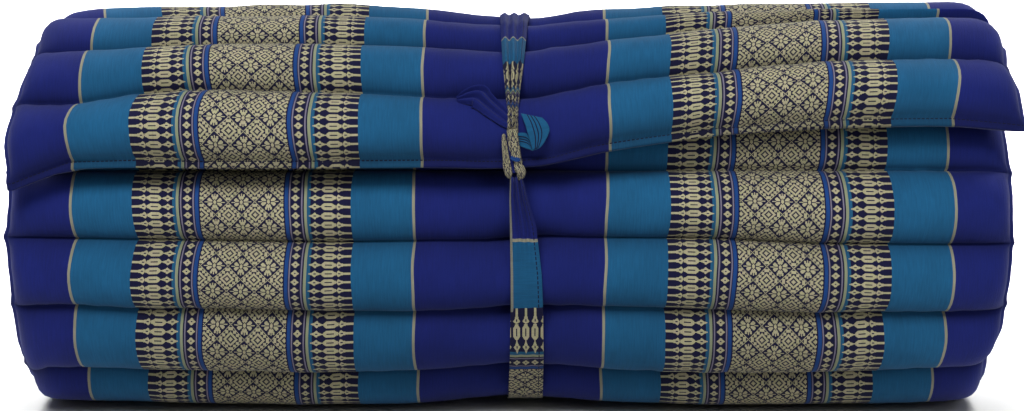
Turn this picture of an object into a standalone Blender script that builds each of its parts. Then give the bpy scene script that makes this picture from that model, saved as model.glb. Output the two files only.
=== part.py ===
# A channel-sewn floor mattress, rolled up from its far end and tied round the middle with a strip of cloth.
# Metres, +Z up. X runs along the roll, -Y is the front, where the free end and the knot are.
import math

import bmesh
import bpy
import numpy as np

# The mattress: its width is the roll's length, and its channels run along the roll.
mattress_width = 0.788
channel_count = 34
channel_pitch = 0.0567
turn_thickness = 0.044
layer_gap = 0.0015
free_end_radius = 0.188
free_end_angle = math.radians(20.5)
outer_groove_depth = 0.013
hidden_groove_depth = 0.006
shown_turn = math.radians(385)
seam_flange_length = 0.007
seam_flange_thickness = 0.0036
core_radius = 0.003
core_ramp = math.radians(70)

# The floor presses the lowest channels in, and leaves a narrow flat strip.
press_depth = 0.008
press_height = 0.022
flat_strip_depth = 0.0016

# The tie: one strip, gathered into pleats near the knot.
tie_strip_width = 0.0286
tie_thickness = 0.002
tie_clearance = 0.0012
tie_pleats = 3
tie_station_angle = math.radians(6)
knot_angle = math.radians(22)
knot_reach_up = 0.0166
knot_reach_down = 0.0196

# Change of the roll's radius along its length: the ends are softer and the tie draws the middle in.
girth_rows = [
    # x, change of radius (mm)
    (-0.394, -7.0),
    (-0.340, -5.0),
    (-0.262, -1.6),
    (-0.153, 0.0),
    (-0.073, -2.7),
    (-0.020, -11.6),
    (0.034, -11.6),
    (0.076, -4.6),
    (0.150, -0.6),
    (0.225, 0.8),
    (0.311, -1.0),
    (0.394, -5.0),
]

# How far the free end has been wound askew, along the roll.
hem_lean_rows = [
    # x, lean (degrees)
    (-0.392, -6.3),
    (-0.375, -4.0),
    (-0.350, -2.0),
    (-0.310, -0.6),
    (-0.260, 0.0),
    (0.026, 0.0),
    (0.050, 3.4),
    (0.077, 4.3),
    (0.126, 7.9),
    (0.164, 9.4),
    (0.244, 12.0),
    (0.345, 12.0),
    (0.392, 9.3),
]

# The share of that lean that is left further round the roll.
lean_share_rows = [
    # angle wound from the free end (degrees), share
    (0, 1.0),
    (20, 1.1),
    (50, 1.3),
    (85, 1.3),
    (150, 0.8),
    (230, 0.2),
    (290, 0.0),
]

# Where each stretch of the two side seams ends, because no roll is wound quite straight.
side_rows = [
    # angle wound from the free end (degrees), left end x, right end x
    (0, -0.392, 0.393),
    (90, -0.387, 0.390),
    (180, -0.392, 0.394),
    (270, -0.394, 0.391),
    (345, -0.399, 0.395),
    (450, -0.394, 0.390),
    (560, -0.398, 0.396),
    (700, -0.390, 0.391),
    (850, -0.396, 0.394),
    (1000, -0.392, 0.390),
    (1200, -0.394, 0.393),
]

# The channels' rounded ends.
end_rows = [
    # distance from the side seam, share of the full thickness
    (0.000, 0.12),
    (0.005, 0.48),
    (0.013, 0.80),
    (0.030, 1.00),
]

# The tie's visible width, which shows how tightly it is gathered.
tie_rows = [
    # angle round the roll (degrees), x of its centre, width
    (27, 0.0005, 0.0085),
    (34, 0.0005, 0.0088),
    (41, 0.0006, 0.0120),
    (52, 0.0010, 0.0175),
    (64, 0.0015, 0.0205),
    (85, 0.0020, 0.0240),
    (110, 0.0030, 0.0275),
    (180, 0.0060, 0.0284),
    (290, 0.0110, 0.0284),
    (318, 0.0118, 0.0262),
    (335, 0.0115, 0.0240),
    (356, 0.0090, 0.0186),
    (370, 0.0050, 0.0120),
    (377, 0.0035, 0.0085),
]

# The knot's three strands and its hidden core, on the roll's surface.
knot_strands = {
    # name: rows of (x, height above the knot's middle, lift off the roll, half width), in millimetres
    "left": [
        (-1.8, 15.2, 5.0, 3.4),
        (-4.6, 6.0, 6.0, 4.6),
        (-5.4, -5.0, 6.0, 4.8),
        (-3.6, -15.6, 5.0, 3.8),
    ],
    "right": [
        (1.2, 15.2, 6.0, 3.4),
        (3.8, 7.0, 8.0, 4.8),
        (7.0, -2.5, 8.0, 5.0),
        (8.2, -10.0, 6.4, 4.6),
        (7.0, -16.2, 5.0, 3.2),
    ],
    "fold": [
        (-4.0, 7.0, 8.0, 2.6),
        (1.5, -1.5, 11.0, 3.4),
        (7.0, -7.5, 8.5, 2.6),
    ],
    "core": [
        (0.0, 14.8, 4.4, 3.4),
        (0.6, 5.0, 4.6, 3.8),
        (1.5, -6.0, 4.6, 3.8),
        (1.6, -15.0, 4.4, 3.4),
    ],
}
strand_flatness = 0.86
strand_sides = 10

# The two free ends, from the knot outwards, on the roll's surface.
left_end_rows = [
    # x, height above the knot's middle, lift off the roll, width, height of the crumpled folds (mm)
    (-7.6, 29.0, 1.0, 7.0, 1.5),
    (-12.0, 32.0, 1.4, 13.0, 2.6),
    (-20.0, 39.0, 2.4, 19.0, 4.0),
    (-28.0, 44.5, 3.2, 19.0, 5.2),
    (-35.0, 45.0, 2.6, 14.0, 4.0),
    (-41.0, 44.0, 2.0, 6.0, 1.5),
]
right_end_rows = [
    # x, height above the knot's middle, lift off the roll, width, height of the crumpled folds (mm)
    (11.6, 4.5, 2.2, 6.0, 2.0),
    (16.0, 8.0, 3.0, 13.0, 2.2),
    (21.0, 14.5, 4.0, 21.0, 2.4),
    (22.4, 22.5, 4.4, 23.0, 2.2),
    (19.0, 31.5, 3.0, 17.0, 1.5),
]
end_strip_folds = 3

mm = 0.001


def read_row(rows, at, column=1):
    """The value of a column at this place, from rows in rising order of their first column."""
    return np.interp(at, [row[0] for row in rows], [row[column] for row in rows])


def wound_angle(length):
    """The angle wound from the free end after this length of the mattress's middle layer."""
    start = free_end_radius - turn_thickness / 2
    left = start**2 - turn_thickness * length / math.pi
    return (start - math.sqrt(left)) * 2 * math.pi / turn_thickness


def crown(share):
    """The height of a filled channel across its width, from 0 at its seams to 1."""
    return (1 - abs(2 * share - 1) ** 2.2) ** 0.62


def channel_profile(length):
    """How full a channel is at this length, and whether this is the mattress's own first or last edge."""
    channel, share = divmod(length / channel_pitch + 1e-9, 1)
    first = channel == 0 and share < 0.5
    last = channel == channel_count - 1 and share > 0.5
    return crown(share), first or last


def face_radii(length):
    """The radii of the outer and the inner face, with the layer's own middle radius."""
    angle = wound_angle(length)
    outer = free_end_radius - turn_thickness * angle / (2 * math.pi)
    inner = outer - turn_thickness + layer_gap
    # The innermost turn swells inwards and fills the roll's core.
    last_turn = wound_angle(channel_count * channel_pitch) - 2 * math.pi
    swollen = min(max((angle - last_turn) / core_ramp, 0), 1)
    inner += (core_radius - inner) * swollen
    middle = (outer + inner) / 2
    if length < 0 or length > channel_count * channel_pitch:
        half = seam_flange_thickness / 2
        return middle + half, middle - half, middle
    full, closes = channel_profile(length)
    half = (outer - inner) / 2
    if closes:
        half = seam_flange_thickness / 2 + (half - seam_flange_thickness / 2) * full
        return middle + half, middle - half, middle
    outer_depth = outer_groove_depth if angle < shown_turn else hidden_groove_depth
    return outer - outer_depth * (1 - full), inner + hidden_groove_depth * (1 - full), middle


def surface_angle(x, angle):
    """The direction round the roll of a point wound this far from the free end."""
    lean = read_row(hem_lean_rows, x) * read_row(lean_share_rows, math.degrees(angle))
    return free_end_angle + angle + math.radians(lean) * (angle < 2 * math.pi)


def girth_share(x):
    return 1 + read_row(girth_rows, x) * mm / free_end_radius


def pressed(height):
    """The floor's push on a point this high above the unpressed roll's lowest crown."""
    if height < press_height:
        height += press_depth * (1 - height / press_height) ** 2
    height -= press_depth
    return 0.0 if height < flat_strip_depth else height


def roll_point(x, direction, radius):
    """A point round the roll's axis: direction 0 faces the front, and a quarter turn is straight up."""
    return (x, -radius * math.cos(direction), axis_height + radius * math.sin(direction))


def lowest_radius():
    """The radius of the lowest crown of the roll at its fullest place, which sets the axis's height."""
    down = math.radians(270) - free_end_angle
    outer = free_end_radius - turn_thickness * down / (2 * math.pi)
    return outer * max(girth_share(row[0]) for row in girth_rows)


axis_height = lowest_radius()


def sample_lengths():
    """Places along the mattress where its outline has points: close on the turn that shows, wider inside."""
    lengths = [-seam_flange_length]
    for channel in range(channel_count):
        shows = channel < 17
        shares = (0, 0.12, 0.35, 0.65, 0.88) if shows else (0, 0.3, 0.7)
        lengths += [(channel + share) * channel_pitch for share in shares]
    end = channel_count * channel_pitch
    return lengths + [end, end + seam_flange_length]


def mattress_ring(x, thickness_share, lengths):
    """One cross-section of the wound mattress: its outer face outwards, then its inner face back."""
    outer_face = []
    inner_face = []
    for length in lengths:
        angle = wound_angle(length)
        outer, inner, middle = face_radii(length)
        column = 1 if x < 0 else 2
        seam_x = read_row(side_rows, math.degrees(angle), column)
        nearness = (abs(x) / (mattress_width / 2)) ** 8
        at_x = x + (seam_x - math.copysign(mattress_width / 2, x)) * nearness
        direction = surface_angle(x, angle)
        for radius, face in ((outer, outer_face), (inner, inner_face)):
            radius = middle + (radius - middle) * thickness_share
            point = roll_point(at_x, direction, radius * girth_share(x))
            face.append((point[0], point[1], pressed(point[2])))
    return outer_face + inner_face[::-1]


def mattress_stations():
    """Places along the roll with their share of the thickness, from the left side seam to the right one."""
    half = mattress_width / 2
    inner_limit = half - end_rows[-1][0]
    stations = [(-half + distance, share) for distance, share in end_rows]
    stations += [(row[0], 1.0) for row in girth_rows if abs(row[0]) < inner_limit - 0.01]
    stations += [(half - distance, share) for distance, share in end_rows[::-1]]
    return stations


def make_material(name, colour, roughness):
    material = bpy.data.materials.new(name)
    material.use_nodes = True
    shader = material.node_tree.nodes["Principled BSDF"]
    shader.inputs["Base Color"].default_value = (*colour, 1)
    shader.inputs["Roughness"].default_value = roughness
    shader.inputs["Metallic"].default_value = 0
    return material


def add_loft(name, rings, material, collection, strip_caps=False):
    """Joins rings of points into one closed body. A strip's caps run across it, between its two faces."""
    work = bmesh.new()
    rows = [[work.verts.new(point) for point in ring] for ring in rings]
    count = len(rows[0])
    for first, second in zip(rows, rows[1:]):
        for i in range(count):
            j = (i + 1) % count
            work.faces.new((first[i], first[j], second[j], second[i]))
    for row in (rows[0], rows[-1]):
        if strip_caps:
            for i in range(count // 2 - 1):
                work.faces.new((row[i], row[i + 1], row[count - 2 - i], row[count - 1 - i]))
        else:
            work.faces.new(row)
    bmesh.ops.recalc_face_normals(work, faces=work.faces)
    bmesh.ops.triangulate(work, faces=work.faces, quad_method="SHORT_EDGE")
    mesh = bpy.data.meshes.new(name)
    work.to_mesh(mesh)
    work.free()
    mesh.materials.append(material)
    mesh.shade_smooth()
    made = bpy.data.objects.new(name, mesh)
    collection.objects.link(made)
    return made


def outer_outline(x):
    """The roll's outer points at x, in the plane across its axis."""
    ring = mattress_ring(x, 1.0, sample_lengths())
    return [(point[1], point[2] - axis_height) for point in ring[: len(ring) // 2]]


def hull_of(points):
    """The convex outline of points in a plane, which is the path of a band pulled tight round them."""
    def half_hull(ordered):
        found = []
        for point in ordered:
            while len(found) > 1:
                (ax, ay), (bx, by) = found[-2:]
                if (bx - ax) * (point[1] - ay) - (by - ay) * (point[0] - ax) > 0:
                    break
                found.pop()
            found.append(point)
        return found[:-1]

    ordered = sorted(set(points))
    return half_hull(ordered) + half_hull(ordered[::-1])


def tight_radius(direction):
    """The radius of a band pulled tight round the drawn-in middle of the roll, in this direction."""
    toward = (-math.cos(direction), math.sin(direction))
    nearest = free_end_radius * 2
    for (ax, ay), (bx, by) in zip(tie_hull, tie_hull[1:] + tie_hull[:1]):
        normal = (by - ay, ax - bx)
        facing = normal[0] * toward[0] + normal[1] * toward[1]
        if facing > 1e-9:
            nearest = min(nearest, (normal[0] * ax + normal[1] * ay) / facing)
    return nearest


def pleat_height(width):
    """The height of the pleats that gather the tie's strip to this width."""
    full = tie_strip_width / (2 * tie_pleats)
    drawn = min(width / (2 * tie_pleats), full)
    return math.sqrt(full**2 - drawn**2)


def band_ring(centre, across, outward, width, fold_height, folds):
    """A section of a strip: a flat underside, and pleats on its upper side."""
    steps = 2 * folds
    top = []
    for i in range(steps + 1):
        offset = (i / steps - 0.5) * width
        rise = tie_thickness + fold_height * (i % 2)
        top.append(centre + across * offset + outward * rise)
    return [centre - across * width / 2] + top + [centre + across * width / 2]


def make_tie_band(material, collection):
    first = knot_angle + knot_reach_up / free_end_radius
    last = knot_angle + 2 * math.pi - knot_reach_down / free_end_radius
    count = round((last - first) / tie_station_angle)
    rings = []
    for i in range(count + 1):
        direction = first + (last - first) * i / count
        x = read_row(tie_rows, math.degrees(direction), 1)
        width = read_row(tie_rows, math.degrees(direction), 2)
        radius = tight_radius(direction) + tie_clearance
        centre = np.array(roll_point(x, direction, radius))
        outward = np.array((0, -math.cos(direction), math.sin(direction)))
        across = np.array((1.0, 0, 0))
        pleats = pleat_height(width)
        rings.append(band_ring(centre, across, outward, width, pleats, tie_pleats))
    return add_loft("tie_band", rings, material, collection)


def knot_place(x, height, lift):
    """A place given in millimetres: along the roll, up its surface from the knot's middle, and off it."""
    direction = knot_angle + height * mm / free_end_radius
    radius = tight_radius(direction) + lift * mm
    return np.array(roll_point(x * mm, direction, radius)), direction


def smooth_rows(rows, steps):
    """Rows of numbers with more rows put between them along a smooth curve."""
    rows = np.array(rows, float)
    padded = np.vstack([2 * rows[0] - rows[1], rows, 2 * rows[-1] - rows[-2]])
    found = []
    for i in range(1, len(padded) - 2):
        a, b, c, d = padded[i - 1 : i + 3]
        for step in range(steps):
            t = step / steps
            square = (2 * a - 5 * b + 4 * c - d) * t**2
            cube = (3 * b - a - 3 * c + d) * t**3
            found.append((2 * b + (c - a) * t + square + cube) / 2)
    return found + [rows[-1]]


def path_frames(places):
    """For each place on a path over the roll: its point, the direction across the path, and outwards."""
    points = [place[0] for place in places]
    frames = []
    for i, (point, direction) in enumerate(places):
        outward = np.array((0, -math.cos(direction), math.sin(direction)))
        along = points[min(i + 1, len(points) - 1)] - points[max(i - 1, 0)]
        across = np.cross(along, outward)
        across /= np.linalg.norm(across)
        frames.append((point, across, np.cross(across, along / np.linalg.norm(along))))
    return frames


def make_strand(name, rows, material, collection):
    rows = smooth_rows(rows, 3)
    frames = path_frames([knot_place(row[0], row[1], row[2]) for row in rows])
    rings = []
    for row, (point, across, outward) in zip(rows, frames):
        ring = []
        for side in range(strand_sides):
            turn = 2 * math.pi * side / strand_sides
            sideways = row[3] * mm * math.cos(turn)
            rise = row[3] * mm * strand_flatness * math.sin(turn)
            ring.append(point + across * sideways + outward * rise)
        rings.append(ring)
    return add_loft(name, rings, material, collection)


def make_knot(material, collection, cutters):
    """The knot's core, joined with the strands that cross over it."""
    knot = make_strand("tie_knot", knot_strands["core"], material, collection)
    for name in ("left", "right", "fold"):
        strand = make_strand(name + "_strand", knot_strands[name], material, cutters)
        strand.hide_render = True
        strand.display_type = "WIRE"
        joined = knot.modifiers.new(strand.name, "BOOLEAN")
        joined.operation = "UNION"
        joined.object = strand


def make_free_end(name, rows, material, collection):
    rows = smooth_rows(rows, 3)
    frames = path_frames([knot_place(row[0], row[1], row[2]) for row in rows])
    rings = [
        band_ring(point, across, outward, row[3] * mm, row[4] * mm, end_strip_folds)
        for row, (point, across, outward) in zip(rows, frames)
    ]
    return add_loft(name, rings, material, collection)


def clear_scene():
    for old in list(bpy.data.objects):
        bpy.data.objects.remove(old, do_unlink=True)


def hold_on_axis(collections):
    """Parents every piece to an empty, placed so that the whole part is centred over its origin."""
    graph = bpy.context.evaluated_depsgraph_get()
    corners = []
    for piece in collections[0].objects:
        mesh = piece.evaluated_get(graph).to_mesh()
        corners += [vertex.co.copy() for vertex in mesh.vertices]
    centre_x, centre_y = [(max(c[i] for c in corners) + min(c[i] for c in corners)) / 2 for i in (0, 1)]
    axis = bpy.data.objects.new("roll_axis", None)
    collections[0].objects.link(axis)
    axis.location = (-centre_x, -centre_y, 0)
    for collection in collections:
        for piece in collection.objects:
            if piece != axis:
                piece.parent = axis


tie_hull = hull_of(outer_outline(read_row(tie_rows, 180)))


def build():
    clear_scene()
    parts = bpy.data.collections.new("rolled_floor_mattress")
    cutters = bpy.data.collections.new("knot_strands")
    bpy.context.scene.collection.children.link(parts)
    bpy.context.scene.collection.children.link(cutters)
    case = make_material("woven cotton case", (0.016, 0.020, 0.120), 0.85)
    strip = make_material("cotton tie", (0.018, 0.115, 0.235), 0.85)
    loop = make_material("knotted cotton", (0.30, 0.29, 0.22), 0.85)

    lengths = sample_lengths()
    rings = [mattress_ring(x, share, lengths) for x, share in mattress_stations()]
    add_loft("mattress", rings, case, parts, strip_caps=True)
    make_tie_band(strip, parts)
    make_knot(loop, parts, cutters)
    make_free_end("tie_end_left", left_end_rows, strip, parts)
    make_free_end("tie_end_right", right_end_rows, strip, parts)
    hold_on_axis([parts, cutters])


build()
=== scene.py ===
import math

import bpy
import numpy as np
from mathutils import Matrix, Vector


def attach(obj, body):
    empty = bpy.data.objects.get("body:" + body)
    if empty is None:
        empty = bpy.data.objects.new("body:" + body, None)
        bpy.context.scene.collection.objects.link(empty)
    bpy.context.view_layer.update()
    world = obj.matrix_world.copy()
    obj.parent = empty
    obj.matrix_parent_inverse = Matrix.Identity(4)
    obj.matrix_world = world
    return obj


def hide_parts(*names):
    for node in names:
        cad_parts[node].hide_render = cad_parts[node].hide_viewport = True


# A floor mattress of woven cotton, stuffed with kapok, rolled up and tied with a strip of its own cloth.
# Metres, +Z up. X runs along the roll, -Y is the front. Cloth patterns are laid out in millimetres.

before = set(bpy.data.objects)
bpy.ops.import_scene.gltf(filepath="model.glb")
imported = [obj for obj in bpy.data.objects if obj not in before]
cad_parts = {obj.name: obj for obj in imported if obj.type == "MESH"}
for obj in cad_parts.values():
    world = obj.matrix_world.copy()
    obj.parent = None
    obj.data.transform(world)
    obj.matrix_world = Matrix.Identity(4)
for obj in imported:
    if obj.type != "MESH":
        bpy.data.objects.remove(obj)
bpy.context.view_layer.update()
mm = 0.001
hair = 1e-6  # a very small length, against rounding
awayFromStitches = 20.0  # mm, anywhere with no line of stitches near
print("frame loaded")

mattress = {
    "width": 0.788,
    "channels": 34,
    "pitch": 0.0567,  # along the middle layer
    "thickness": 0.044,
    "gap": 0.0015,
    "freeRadius": 0.188,
    "freeAngle": 20.5,
    "crownFlatness": 2.2,  # the channels' section: a higher power has a flatter top
    "crownRoundness": 0.62,
    "grooveDepth": 0.0165,
    "hiddenGroove": 0.006,
    "shownTurn": 385,  # degrees wound that show on the outside
    "shownMargin": 8,
    "hemLength": 0.007,
    "hemThickness": 0.0026,
    "hemStitch": -0.0014,  # the line of stitches lies just outside the last seam
    "hemWave": 0.0018,
    "hemWaveSize": (0.028, 0.025),
    "hemWaveFrom": 0.0021,
    "coreRadius": 0.003,
    "coreRamp": 70,
    "pressDepth": 0.008,
    "pressHeight": 0.022,
    "flatDepth": 0.0016,
    "axis": (0.00148, -0.00031),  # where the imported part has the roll's axis
    "columnStep": 0.0042,
    "hiddenStride": 6,
    "seamGather": 0.013,  # share that the seams draw the cloth in lengthways
    "gatherFade": 8,  # a power: it keeps to the sides, where the cloth isn't drawn in
    "pucker": 0.0011,
    "puckerReach": 0.011,
    "puckerWidth": 0.0105,
    "puckerTurn": 0.05,  # how soon the puckers change away from the seam
    "puckerStep": 3.7,  # and how much from one channel to the next
    "lump": 0.0016,
    "lumpSize": (0.085, 0.055),
    "smallLumpSize": (0.034, 0.040),
    "lumpSlant": 6,
    "sideWaver": 0.0003,
    "sideWaverLength": 0.006,
    "seamEar": 0.0016,  # the seams' ends stand out at the side
    "earReach": 0.0035,
    "sideFade": 20,  # a power: it keeps the ears and the waver close to the sides
    "girthEasing": 0.016,
    "topAt": 70,  # degrees wound, the top of the roll and how far it reaches
    "topReach": 60,
    "tieX": 0.0066,
    "tieCalm": 0.020,  # half width of the cloth that the tie holds smooth
    "tieHollow": 0.009,  # the seams sink further beside the tie
    "tieHollowReach": 0.034,
}

girthRows = [  # x, change of radius (mm)
    (-0.394, -7.0), (-0.340, -5.0), (-0.262, -1.6), (-0.153, 0.0), (-0.073, -2.7), (-0.020, -11.6),
    (0.034, -11.6), (0.076, -4.6), (0.150, -0.6), (0.225, 0.8), (0.311, -1.0), (0.394, -5.0),
]
shiftX = [
    -0.392, -0.375, -0.345, -0.30, -0.24, -0.15, -0.06, -0.02, 0.03, 0.06, 0.10, 0.16, 0.24, 0.34, 0.392,
]
# Seam counted from the free end: degrees it lies further round than an even winding, at each shiftX.
seamShift = {
    0: [-3.2, -0.9, 2.8, 3.2, 2.6, 2.6, 3.2, 3.4, 4.6, 7.2, 9.2, 12.2, 14.0, 15.4, 13.9],
    1: [0.8, -0.3, -0.7, 2.4, 3.5, 2.4, 1.5, 3.5, 4.7, 5.2, 6.8, 8.7, 13.0, 15.1, 15.6],
    2: [2.0, 0.0, 0.8, 0.3, 0.7, -0.4, 0.9, 2.1, 4.5, 3.2, 4.9, 7.9, 12.9, 15.1, 15.6],
    3: [9.0, 4.6, 1.7, 0.0, -2.6, -4.0, -4.0, 0.2, 0.4, -1.3, -1.5, -2.6, -4.0, -4.0, -4.0],
    4: [7.6, 3.9, 1.4, 0.0, -2.2, -3.4, -3.4, 0.1, 0.3, -1.1, -1.3, -2.2, -3.4, -3.4, -3.4],
    6: [4.5, 2.3, 0.9, 0.0, -1.3, -2.0, -2.0, 0.1, 0.2, -0.7, -0.8, -1.3, -2.0, -2.0, -2.0],
    8: [1.8, 0.9, 0.3, 0.0, -0.5, -0.8, -0.8, 0.0, 0.1, -0.3, -0.3, -0.5, -0.8, -0.8, -0.8],
    11: [-0.5, 0.9, 1.0, 1.1, 1.1, 1.0, 1.0, 0.6, 0.6, 0.9, 0.9, 0.9, 0.9, 1.3, 1.3],
    13: [-2.6, 4.7, 4.9, 5.3, 5.4, 5.0, 4.9, 3.1, 3.0, 4.6, 4.6, 4.4, 4.6, 6.3, 6.6],
    14: [5.4, 7.2, 7.8, 6.5, 7.1, 6.4, 5.4, 4.3, 5.0, 6.9, 7.1, 6.8, 5.5, 5.3, 5.3],
    15: [5.4, 5.5, 5.3, 5.0, 4.8, 4.2, 4.5, 4.1, 5.7, 5.5, 5.5, 5.5, 3.6, 3.2, 3.2],
    16: [4.2, 3.5, 3.3, 3.1, 2.7, 2.8, 3.4, 5.2, 5.4, 3.9, 3.4, 2.9, 2.9, 3.2, 3.3],
    18: [0.0] * len(shiftX),
    34: [0.0] * len(shiftX),
}
swellRows = [  # degrees wound, how much fuller the channels are there (mm)
    (0, 0.0), (35, 2.4), (100, 3.0), (180, 0.8), (250, 1.5), (300, 4.5), (340, 2.0), (380, 0.0),
]
topSwellRows = [  # x, how much fuller again the top is (mm)
    (-0.392, 0.0), (-0.34, 0.5), (-0.28, 1.0), (0.02, 0.0), (0.052, 3.0), (0.10, 0.5), (0.22, 0.5),
    (0.30, 3.0), (0.36, 6.0), (0.392, 7.0),
]
clothX = (-0.394, -0.3417, -0.0777, 0.0777, 0.3417, 0.394)  # the side seams and the four pale lines
clothRows = [  # degrees wound, how far the cloth is shifted along the roll at each clothX (mm)
    (0, 3.6, -4.1, 6.7, 0.3, 6.7, 5.7), (10, -1.7, -5.9, 7.1, -2.0, 9.8, 5.7),
    (20, 3.5, 1.0, 6.7, -1.3, 8.9, -0.5), (30, 6.8, 1.6, 6.3, 0.0, 8.8, 3.5),
    (40, 10.8, 2.0, 6.5, -0.6, 6.7, -2.7), (50, 7.9, 6.0, 6.7, -1.2, 4.6, -0.3),
    (60, 14.0, 5.0, 7.5, -1.2, 2.0, -5.7), (70, 11.0, 3.0, 8.0, -1.2, -1.0, -1.7),
    (100, 7.0, 2.0, 5.0, -2.0, -1.0, -4.0), (180, 2.0, 0.6, 2.0, -2.0, 0.0, 0.0),
    (230, -1.0, 0.0, 1.5, -3.0, -1.0, -4.0), (260, 0.0, 0.0, 1.0, -5.0, -2.0, -8.0),
    (272, 0.0, -0.8, 0.8, -5.1, -1.4, -8.4), (284, -0.4, -3.0, 0.5, -5.0, 0.0, -11.3),
    (297, -2.2, -5.3, -0.7, -4.7, 2.6, -3.5), (309, -2.2, -6.2, -0.7, -4.4, 3.8, -2.9),
    (322, -3.1, -6.5, -0.7, -4.0, 5.0, -0.2), (335, -5.4, -3.7, -0.3, -2.8, 6.5, 0.4),
    (348, -2.7, -4.7, -0.3, -2.0, 6.9, 1.0), (361, -5.0, -5.2, -0.3, -2.0, 4.8, 0.5),
    (450, 0.0, 0.0, 0.0, 0.0, 0.0, -4.0), (560, -4.0, 0.0, 0.0, 0.0, 0.0, 2.0),
    (700, 4.0, 0.0, 0.0, 0.0, 0.0, -3.0), (850, -2.0, 0.0, 0.0, 0.0, 0.0, 0.0),
    (1000, 2.0, 0.0, 0.0, 0.0, 0.0, -4.0), (1200, 0.0, 0.0, 0.0, 0.0, 0.0, -1.0),
]
endRows = [  # distance in from the side seam, share of the full thickness
    (-0.0026, 0.06), (0.0, 0.07), (0.0010, 0.26), (0.0026, 0.46), (0.0052, 0.66), (0.0090, 0.81),
    (0.0140, 0.91), (0.0200, 0.97), (0.0270, 0.995), (0.0330, 1.0),
]


def readRow(rows, at, column=1):
    return np.interp(at, [row[0] for row in rows], [row[column] for row in rows])


def softRow(rows, at, reach):
    steps = np.linspace(-reach, reach, 7)  # a table read with its corners rounded off
    return sum(readRow(rows, at + step) for step in steps) / len(steps)


def readTable(rowPlaces, columnPlaces, values, atRows, atColumns):
    # Straight lines between the table's values, both down its rows and across its columns.
    across = np.array([np.interp(atColumns, columnPlaces, row) for row in values])
    shares = np.array([np.interp(atRows, rowPlaces, row) for row in np.eye(len(values))])
    return shares.T @ across


def softNoise(u, v, seed):
    # Between -1 and 1, one unit from a value to the next.
    size = 64
    grid = np.random.RandomState(seed).uniform(-1, 1, (size, size))
    u, v = np.broadcast_arrays(u, v)
    lowU, lowV = np.floor(u).astype(int), np.floor(v).astype(int)
    partU, partV = u - lowU, v - lowV
    partU, partV = partU**2 * (3 - 2 * partU), partV**2 * (3 - 2 * partV)
    u0, u1, v0, v1 = lowU % size, (lowU + 1) % size, lowV % size, (lowV + 1) % size
    near = grid[u0, v0] * (1 - partU) + grid[u1, v0] * partU
    far = grid[u0, v1] * (1 - partU) + grid[u1, v1] * partU
    return near * (1 - partV) + far * partV


def woundAngle(length):
    start = mattress["freeRadius"] - mattress["thickness"] / 2
    left = start**2 - mattress["thickness"] * np.asarray(length, float) / math.pi
    return (start - np.sqrt(left)) * 2 * math.pi / mattress["thickness"]


def channelShare(length):
    share = np.asarray(length, float) / mattress["pitch"]
    return np.clip(share - np.floor(share + hair), 0, 1)


def seamDistance(length):
    share = channelShare(length)
    return np.minimum(share, 1 - share) * mattress["pitch"]


def crown(share):
    m = mattress
    return np.clip(1 - np.abs(2 * share - 1) ** m["crownFlatness"], 0, 1) ** m["crownRoundness"]


def faceRadii(length):
    m = mattress
    length = np.asarray(length, float)
    angle = woundAngle(length)
    outer = m["freeRadius"] - m["thickness"] * angle / (2 * math.pi)
    inner = outer - m["thickness"] + m["gap"]
    total = m["channels"] * m["pitch"]
    lastTurn = woundAngle(total) - 2 * math.pi
    inner += (m["coreRadius"] - inner) * np.clip((angle - lastTurn) / math.radians(m["coreRamp"]), 0, 1)
    middle = (outer + inner) / 2
    full = crown(channelShare(np.clip(length, 0, total - hair)))
    full = np.where((length < 0) | (length > total), 0, full)
    half, flange = (outer - inner) / 2, m["hemThickness"] / 2
    closes = (length < m["pitch"] / 2) | (length > total - m["pitch"] / 2)
    closedHalf = flange + (half - flange) * full
    depth = np.where(angle < math.radians(m["shownTurn"]), m["grooveDepth"], m["hiddenGroove"])
    outerFace = np.where(closes, middle + closedHalf, outer - depth * (1 - full))
    innerFace = np.where(closes, middle - closedHalf, inner + m["hiddenGroove"] * (1 - full))
    return angle, outerFace, innerFace, middle, full


def lowestRadius():
    down = math.radians(270 - mattress["freeAngle"])
    outer = mattress["freeRadius"] - mattress["thickness"] * down / (2 * math.pi)
    return outer * max(1 + row[1] * mm / mattress["freeRadius"] for row in girthRows)


axisHeight = lowestRadius()


def pressed(height):
    m = mattress
    push = m["pressDepth"] * np.clip(1 - height / m["pressHeight"], 0, None) ** 2
    height = height + push - m["pressDepth"]
    return np.where(height < m["flatDepth"], 0.0, height)


def rollPoint(x, direction, radius):
    centreX, centreY = mattress["axis"]
    x, direction, radius = np.broadcast_arrays(x, direction, radius)
    height = pressed(axisHeight + radius * np.sin(direction))
    return np.stack([x + centreX, centreY - radius * np.cos(direction), height], axis=-1)


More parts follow.
